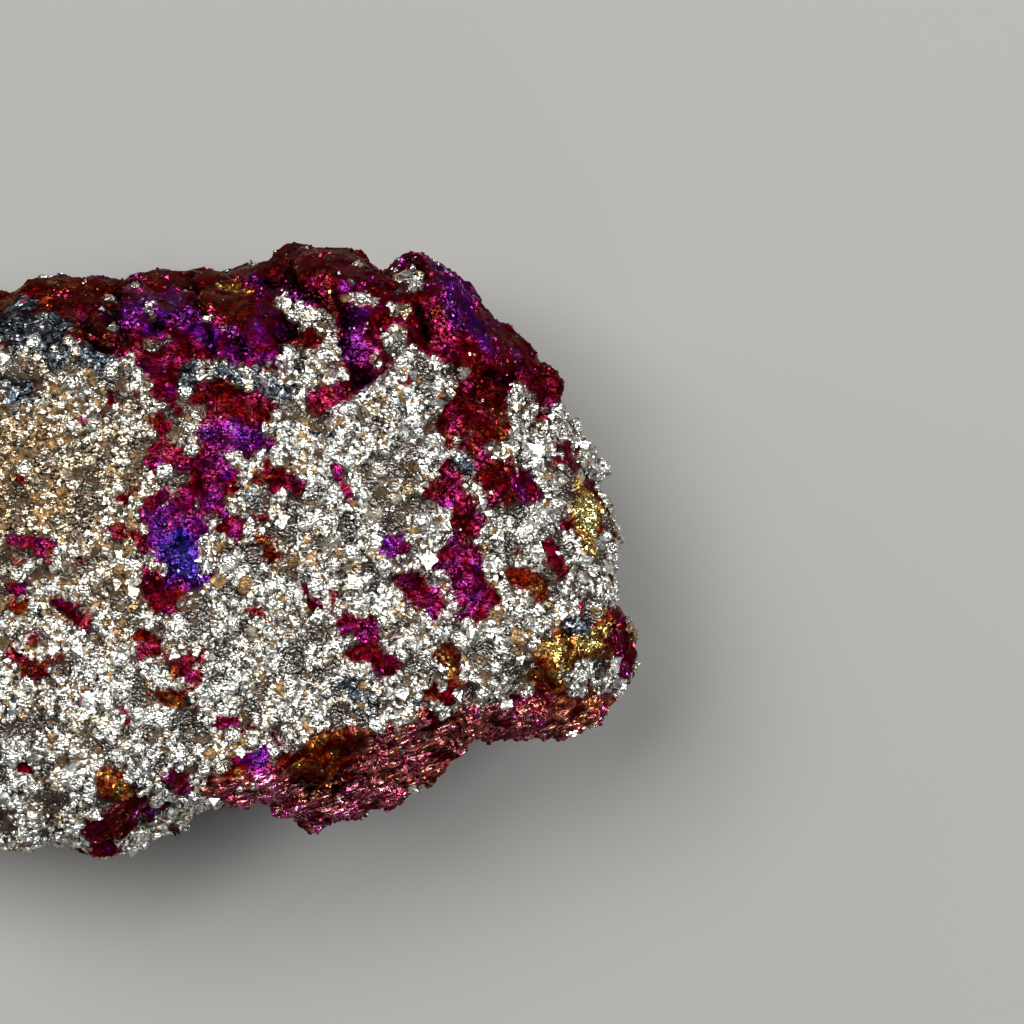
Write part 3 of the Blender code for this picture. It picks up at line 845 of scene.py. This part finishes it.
def crust_colour(finish, plates, outline_shade, patch):
    """The pyrite crust's colours, with ochre plates, and painted shade in its hollows and along the
    outlines of its domes.
    """
    warmth = finish.attribute("tan") * 0.40 + finish.noise(1.2) * 0.4 + (patch - 0.5) * 0.3
    colour = finish.ramp(warmth, PYRITE_SHADES)
    colour = finish.mix(plates, colour, finish.mix(finish.noise(0.5), *OCHRES))
    # Painted shade: dark in the crust's hollows and along the outlines of its domes.
    hollow = finish.clamped(finish.attribute("hollow") + outline_shade)
    return finish.mix(hollow * 0.92, colour, HOLLOW_SHADE)


def tarnished_rock_finish():
    """Deep maroon to violet ore with gleaming wrinkled skin, and crumpled pyrite crust beside it."""
    dull_glints = {"Specular IOR Level": 0.05, "Specular Tint": (0.6, 0.4, 0.4, 1)}
    finish = Finish("tarnished rock", dull_glints)
    ore, steel, gleam = finish.attribute("ore"), finish.attribute("steel"), finish.attribute("gleam")
    pale = finish.attribute("pale")
    crust_height, outline_shade, chance = finish.crust()
    plates = chance < finish.attribute("ochre")
    patch = finish.first_part(finish.cells(PATCH, "Color"))
    film = finish.attribute("film") + (finish.noise(0.35) - 0.5) * 0.14 + (patch - 0.5) * 0.08
    creases = finish.blend(pale, finish.ridges(0.8), finish.ridges(0.5, finish.fibrous_place()))

    crust = crust_colour(finish, plates, outline_shade, patch)
    tarnished = tarnish_colour(finish, film, creases, pale, gleam)
    grey = finish.ramp(chance, STEEL_SHADES)
    finish.set("Base Color", finish.mix(steel, finish.mix(ore, crust, tarnished), grey))
    ore_metal = 0.7 + gleam * 0.3 - finish.attribute("weathered") * 0.4
    metal = finish.blend(ore, 1 - plates * 0.7, ore_metal)
    finish.set("Metallic", finish.clamped(metal + steel))
    finish.set("Roughness", finish.blend(ore, 0.30, 0.34 - gleam * 0.10) + (patch - 0.5) * 0.08)

    wrinkles = creases * (pale * 0.5 + 0.5) + finish.ridges(0.3) * 0.16 + finish.noise(0.13) * 0.03
    skin_height = wrinkles * (0.8 + gleam * 0.4)
    height = finish.blend(ore, crust_height * (1 - plates * 0.7), skin_height)
    broad_faces = finish.faceted(BROAD_FACE, ore * (gleam * 0.14 + 0.38))
    faces = finish.faceted(FINE_FACE, ore * (gleam * 0.16 + 0.04) + 0.18, broad_faces)
    finish.set("Normal", finish.bumped(height, faces))
    return finish.material


def tarnished_crystal_finish():
    """Bright iridescent faces of small ore crystals."""
    finish = Finish("tarnished crystals", {"Metallic": 1.0})
    film = finish.attribute("film") + (finish.noise(0.3) - 0.5) * 0.12
    lit = finish.attribute("gleam") * 0.34 + finish.attribute("luck") * 0.08 + 0.06
    colour = finish.mix(lit, BLACK, finish.ramp(film, FILM_COLOURS))
    finish.set("Base Color", finish.mix(finish.attribute("steel"), colour, STEEL))
    finish.set("Roughness", 0.22 + finish.attribute("luck") * 0.14)
    return finish.material


def pyrite_finish():
    """Silver to pale gold metallic grains with a crumpled crust, painted shade along the crust's
    outlines, and dull ochre ones.
    """
    finish = Finish("pyrite grains", {})
    height, outline_shade, chance = finish.crust()
    ochre = finish.attribute("ochre")
    shade = finish.attribute("warmth") + (chance - 0.5) * 0.3
    rust = finish.mix(finish.noise(0.5), *OCHRES)
    colour = finish.mix(ochre, finish.ramp(shade, PYRITE_SHADES), rust)
    # Painted shade along the outlines between the crust's domes.
    colour = finish.mix(outline_shade * 0.7, colour, HOLLOW_SHADE)
    grey = finish.ramp(chance, STEEL_SHADES)
    finish.set("Base Color", finish.mix(finish.attribute("steel"), colour, grey))
    finish.set("Metallic", 1 - ochre * 0.7)
    finish.set("Roughness", 0.27 + finish.attribute("luck") * 0.10)
    height = height * (finish.attribute("rounded") * 0.65 + 0.35)
    finish.set("Normal", finish.bumped(height, finish.faceted(FINE_FACE, 0.18)))
    return finish.material


def floor_finish():
    finish = Finish("pale floor", {"Roughness": 0.75})
    clouds = finish.noise(30.0) * 0.06
    finish.set("Base Color", finish.mix(clouds, *FLOOR_GREYS))
    return finish.material


# ---------------------------------------------------------------- the lump's grains

CANDIDATES = 420000  # places tried for a grain
UPPER_LEVEL = 10.0  # grains above this height are the small ones of the broken face
GRAIN_RADII = (0.40, 0.27, 0.18)  # the rare large ones first
SMALLEST_GRAIN = 0.13
DUST_RADIUS = 0.10
CRYSTAL_RADIUS = 0.2  # the ore's crystals grow no larger than this, and are shrunk besides
CRYSTAL_SHRINK = 0.7
SPACING = 1.25  # least distance between grains, in radii of the larger
FACE_LEFT, FACE_RIGHT = -5, 7  # where the face's grains are parted


def scattered(mesh, count, rng):
    """Random places on the mesh, even per area: points, normals and their field values."""
    mesh.calc_loop_triangles()
    triangles = np.empty(len(mesh.loop_triangles) * 3, np.int32)
    mesh.loop_triangles.foreach_get("vertices", triangles)
    triangles = triangles.reshape(-1, 3)
    corners = (points_of(mesh) / MILLIMETRE)[triangles]
    cross = np.cross(corners[:, 1] - corners[:, 0], corners[:, 2] - corners[:, 0])
    area = np.linalg.norm(cross, axis=1)
    chosen = rng.choice(len(triangles), count, p=area / area.sum())
    shares = rng.dirichlet((1, 1, 1), count)
    places = (corners[chosen] * shares[:, :, None]).sum(axis=1)
    normals = cross[chosen] / area[chosen][:, None]
    fields = {}
    for label in ("ore", "film", "steel", "gleam", "ochre", "tan", "hollow"):
        amounts = read_value(mesh, label)
        fields[label] = (amounts[triangles[chosen]] * shares).sum(axis=1)
    return places, normals, fields


def thinned(places, radii):
    """Which places stay, the largest grains first, so that no two lie too close."""
    tree = kdtree.KDTree(len(places))
    for index, place in enumerate(places.tolist()):
        tree.insert(place, index)
    tree.balance()
    order = np.argsort(-radii, kind="stable")
    rank = np.empty(len(order), int)
    rank[order] = np.arange(len(order))
    stays = np.ones(len(places), bool)
    reach = radii * SPACING
    for index in order.tolist():
        if stays[index]:
            for _, other, _ in tree.find_range(places[index], reach[index]):
                if rank[other] > rank[index]:
                    stays[other] = False
    return stays


def coarseness(places):
    """Grows to the right, where the pyrite has larger and flatter crystals."""
    return eased(places[:, 0], 6.0, 13.0)


def kept_grains(places, normals, fields, rng):
    """Which of the places carry a grain, each grain's radius, and which are crystals of ore."""
    luck = rng.random(len(places))
    large = 0.988 - 0.005 * coarseness(places)
    radii = np.select((luck > large, luck > 0.92, luck > 0.6), GRAIN_RADII, SMALLEST_GRAIN)
    fine = (places[:, 2] > UPPER_LEVEL) | (normals[:, 2] > 0.75)
    radii = radii * rng.uniform(0.85, 1.15, len(places)) * np.where(fine, 1.0, 1.15)
    in_ore = fields["ore"] > 0.5
    dust = in_ore & (luck > 0.965) & (noise_of(places, 0.9, 67.0) > 0.42)
    in_ore &= ~dust
    crystal_radii = np.minimum(radii, CRYSTAL_RADIUS) * CRYSTAL_SHRINK
    radii = np.where(in_ore, crystal_radii, np.where(dust, DUST_RADIUS, radii))
    chance = rng.random(len(places))
    bare = in_ore & (chance > np.where(fields["gleam"] > 0.6, 0.30, 0.045))
    gap = ~in_ore & ((noise_of(places, 0.7, 61.0) > 0.50) | (fields["hollow"] > 0.7))
    wanted = np.flatnonzero(~(bare | gap))
    kept = wanted[thinned(places[wanted], radii[wanted])]
    return kept, radii[kept], in_ore[kept]


def grown_grains(rock, rng):
    """The grains on the rock: for each its place, radius, tilt and the values its finish reads."""
    places, normals, fields = scattered(rock.data, CANDIDATES, rng)
    kept, radii, in_ore = kept_grains(places, normals, fields, rng)
    places, normals = places[kept], normals[kept]
    fields = {label: amounts[kept] for label, amounts in fields.items()}
    count = len(kept)
    lift = np.where(in_ore, rng.uniform(-0.7, 0.0, count), rng.uniform(-0.5, 0.3, count))
    ochre = rng.random(count) < fields["ochre"] * 0.3
    odd = rng.random(count) > 0.95
    warmth = 0.22 + 0.34 * fields["tan"] + rng.normal(0, 0.14, count) + np.where(odd, 0.45, 0.0)
    rounded = ~in_ore & (rng.random(count) < 0.75 - 0.35 * coarseness(places) * (radii > 0.24))
    scatter = np.where(rng.random(count) < 0.65, 0.28, 2.0)
    film = fields["film"] + rng.normal(0, 0.055, count)
    steel_grain = (rng.random(count) > 0.97) & (radii < 0.2)
    steel = fields["steel"] * (rng.random(count) < 0.75)
    return {
        "level": places[:, 2],
        "along": places[:, 0],
        "in_ore": in_ore,
        "place": places + normals * (radii * lift)[:, None],
        "normal": normals,
        "radius": radii,
        "scatter": scatter,
        "rounded": rounded.astype(float),
        "gleam": fields["gleam"],
        "film": np.clip(film, *FILM_RANGE),
        "steel": np.where(steel_grain, 1.0, steel),
        "luck": rng.random(count),
        "warmth": np.clip(warmth, 0, 1),
        "ochre": ochre.astype(float),
    }


def picked(grains, members):
    """The same values for some of the grains alone."""
    return {label: amounts[members] for label, amounts in grains.items()}


def make_grains(rock, rng):
    """Joins the rock's grains by side and by kind: (piece, slot) rows."""
    grains = grown_grains(rock, rng)
    along, top, pyrite = grains["along"], grains["level"] > UPPER_LEVEL, ~grains["in_ore"]
    pyrite_groups = {
        "pyrite_grains_face_left": top & (along < FACE_LEFT),
        "pyrite_grains_face_middle": top & (along >= FACE_LEFT) & (along < FACE_RIGHT),
        "pyrite_grains_face_right": top & (along >= FACE_RIGHT),
        "pyrite_grains_left_side": ~top & (along < 0),
        "pyrite_grains_right_side": ~top & (along >= 0),
    }
    pyrite_material, crystal_material = pyrite_finish(), tarnished_crystal_finish()
    crystals = picked(grains, grains["in_ore"])
    pieces = [(grain_piece("tarnished_crystals", crystals, crystal_material, rng), "tarnished_ore")]
    for name, members in pyrite_groups.items():
        piece = grain_piece(name, picked(grains, pyrite & members), pyrite_material, rng)
        pieces.append((piece, "pyrite_grains"))
    return pieces


# ---------------------------------------------------------------- studio

FLOOR_SIZE = 3.0  # metres
FLOOR_GREYS = (0.158, 0.154, 0.146, 1), (0.13, 0.126, 0.118, 1)
LAMP_DISTANCE = 0.5  # metres from the lump

# Square lamps: name, direction from the lump, side in metres, radiance and colour.
SOFTBOXES = (
    ("key box", (-0.38, 0.34, 1.0), 0.28, 18.5, (1.0, 0.995, 0.98)),
    ("left box", (-0.85, 0.40, 0.60), 0.16, 5.0, (1.0, 0.97, 0.93)),
    ("right box", (0.75, 0.2, 0.9), 0.2, 28.0, (0.97, 0.99, 1.0)),
    ("front box", (0.1, -0.9, 0.6), 0.14, 5.0, (1.0, 1.0, 1.0)),
)


def make_camera():
    camera = bpy.data.cameras.new("camera")
    camera.lens = 150
    camera.sensor_width = 36
    camera.clip_start = 0.01
    eye = bpy.data.objects.new("camera", camera)
    eye.location = Vector((*VIEW_CENTRE, CAMERA_HEIGHT)) * MILLIMETRE
    bpy.context.scene.collection.objects.link(eye)
    bpy.context.scene.camera = eye


def softbox(name, direction, side, radiance, colour):
    """A square lamp that faces the lump's girth."""
    light = bpy.data.lights.new(name, "AREA")
    light.shape = "SQUARE"
    light.size = side
    light.energy = radiance * math.pi * side * side
    light.color = colour
    lamp = bpy.data.objects.new(name, light)
    outward = Vector(direction).normalized()
    lamp.location = outward * LAMP_DISTANCE + Vector((0, 0, GIRTH * MILLIMETRE))
    lamp.rotation_mode = "QUATERNION"
    lamp.rotation_quaternion = outward.to_track_quat("Z", "Y")
    bpy.context.scene.collection.objects.link(lamp)


def make_studio():
    bpy.ops.mesh.primitive_plane_add(size=FLOOR_SIZE)
    floor = bpy.context.object
    floor.name = "pale_floor"
    floor.data.materials.append(floor_finish())
    for row in SOFTBOXES:
        softbox(*row)
    world = bpy.data.worlds.new("studio")
    world.use_nodes = True
    world.node_tree.nodes["Background"].inputs[0].default_value = (0.09, 0.09, 0.088, 1)
    bpy.context.scene.world = world
    bpy.context.scene.view_settings.view_transform = "Standard"


def main():
    rng = np.random.default_rng(SEED)
    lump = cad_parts["ore_lump"]
    rock = make_rock(lump, tarnished_rock_finish())
    pieces = [(rock, "tarnished_ore")] + make_grains(rock, rng)
    for piece, slot in pieces:
        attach(piece, "root")
        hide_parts("ore_lump")
    make_studio()
    make_camera()


main()
